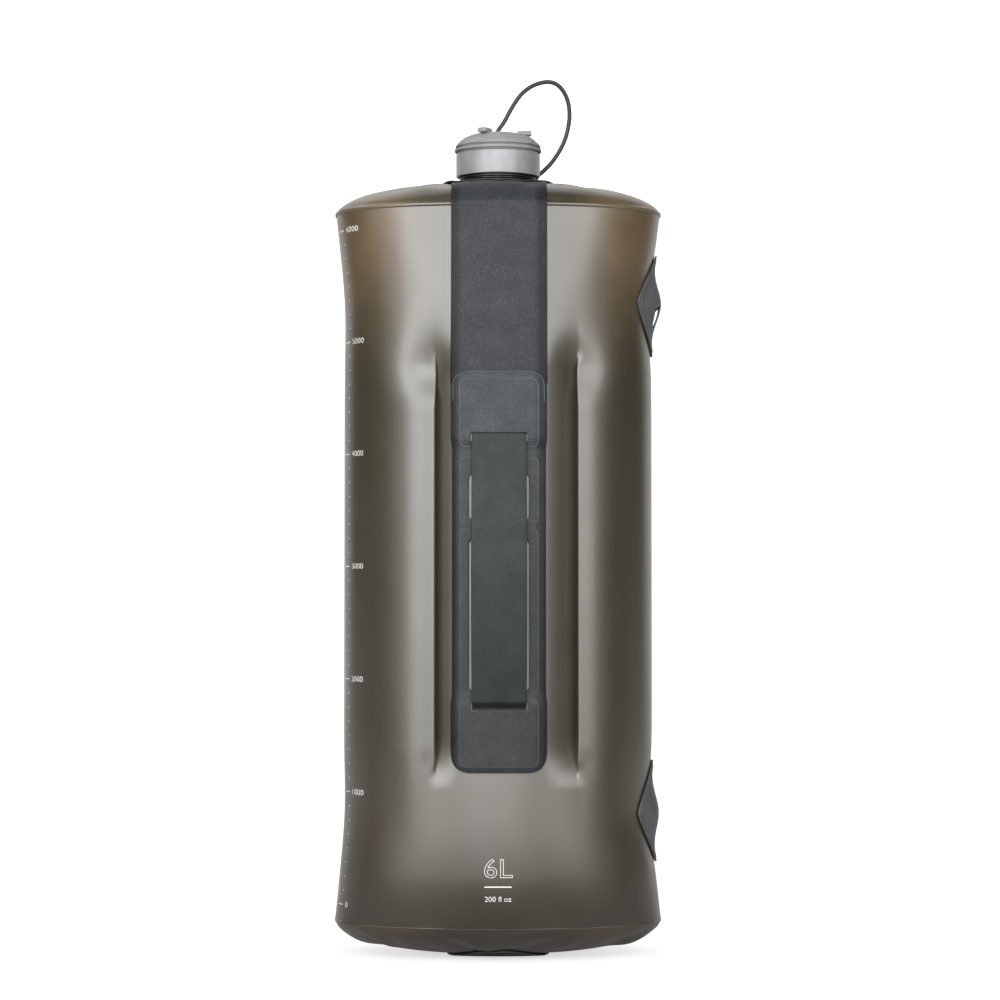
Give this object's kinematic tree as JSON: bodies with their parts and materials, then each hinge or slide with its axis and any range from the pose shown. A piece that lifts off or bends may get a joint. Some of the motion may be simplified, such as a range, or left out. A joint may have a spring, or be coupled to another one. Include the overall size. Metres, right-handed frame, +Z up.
{
  "type": "collapsible water carrier",
  "caption": "Tall oval film water carrier that stands full, with inner baffles, slotted strap handles front and back, lash tabs on one side and a tethered screw cap.",
  "frame": {"origin": "centre of the standing face, under the neck", "axes": "+Z up along the neck's axis, front with the printed capacity towards -Y, +X to the right seen from the front"},
  "size_m": [0.1828, 0.1342, 0.49],
  "materials": {
    "film": "satin smoke-brown film",
    "coated_fabric": "charcoal coated fabric",
    "webbing": "charcoal woven webbing, coated",
    "tab_plastic": "charcoal moulded tab",
    "neck_plastic": "black gloss",
    "cap_plastic": "satin grey",
    "cap_cover": "matt grey",
    "seal_rubber": "soft black seal",
    "tether_plastic": "dark grey flexible cord"
  },
  "bodies": {
    "bag": {"front_panel": "film", "back_panel": "film", "top_panel": "film", "bottom_panel": "film", "left_baffle": "film", "right_baffle": "film", "neck_spout": "neck_plastic", "neck_patch": "coated_fabric", "front_strap": "coated_fabric", "back_strap": "coated_fabric", "front_handle_panel": "coated_fabric", "back_handle_panel": "coated_fabric", "upper_lash_tab": "tab_plastic", "lower_lash_tab": "tab_plastic", "base_patch": "coated_fabric", "tether_ring": "tether_plastic"},
    "tether": {"tether_swivel": "tether_plastic", "tether_cord": "tether_plastic"},
    "cap": {"cap_skirt": "cap_plastic", "cap_dome": "cap_cover", "cap_seal": "seal_rubber"},
    "front_handle": {"front_handle_webbing": "webbing"},
    "back_handle": {"back_handle_webbing": "webbing"}
  },
  "joints": [
    {"name": "cap_lift", "type": "slide", "parent": "bag", "child": "tether", "axis": [0, 0, 1], "range_m": [0, 0.06], "deforming": ["tether_cord"]},
    {"name": "cap_turn", "type": "hinge", "parent": "tether", "child": "cap", "pos_m": [0, 0, 0.445], "axis": [0, 0, 1], "range_deg": [0, 540]},
    {"name": "front_handle_pull", "type": "slide", "parent": "bag", "child": "front_handle", "axis": [0, -1, 0], "range_m": [0, 0.012], "deforming": ["front_handle_webbing"]},
    {"name": "back_handle_pull", "type": "slide", "parent": "bag", "child": "back_handle", "axis": [0, 1, 0], "range_m": [0, 0.012], "deforming": ["back_handle_webbing"]}
  ]
}
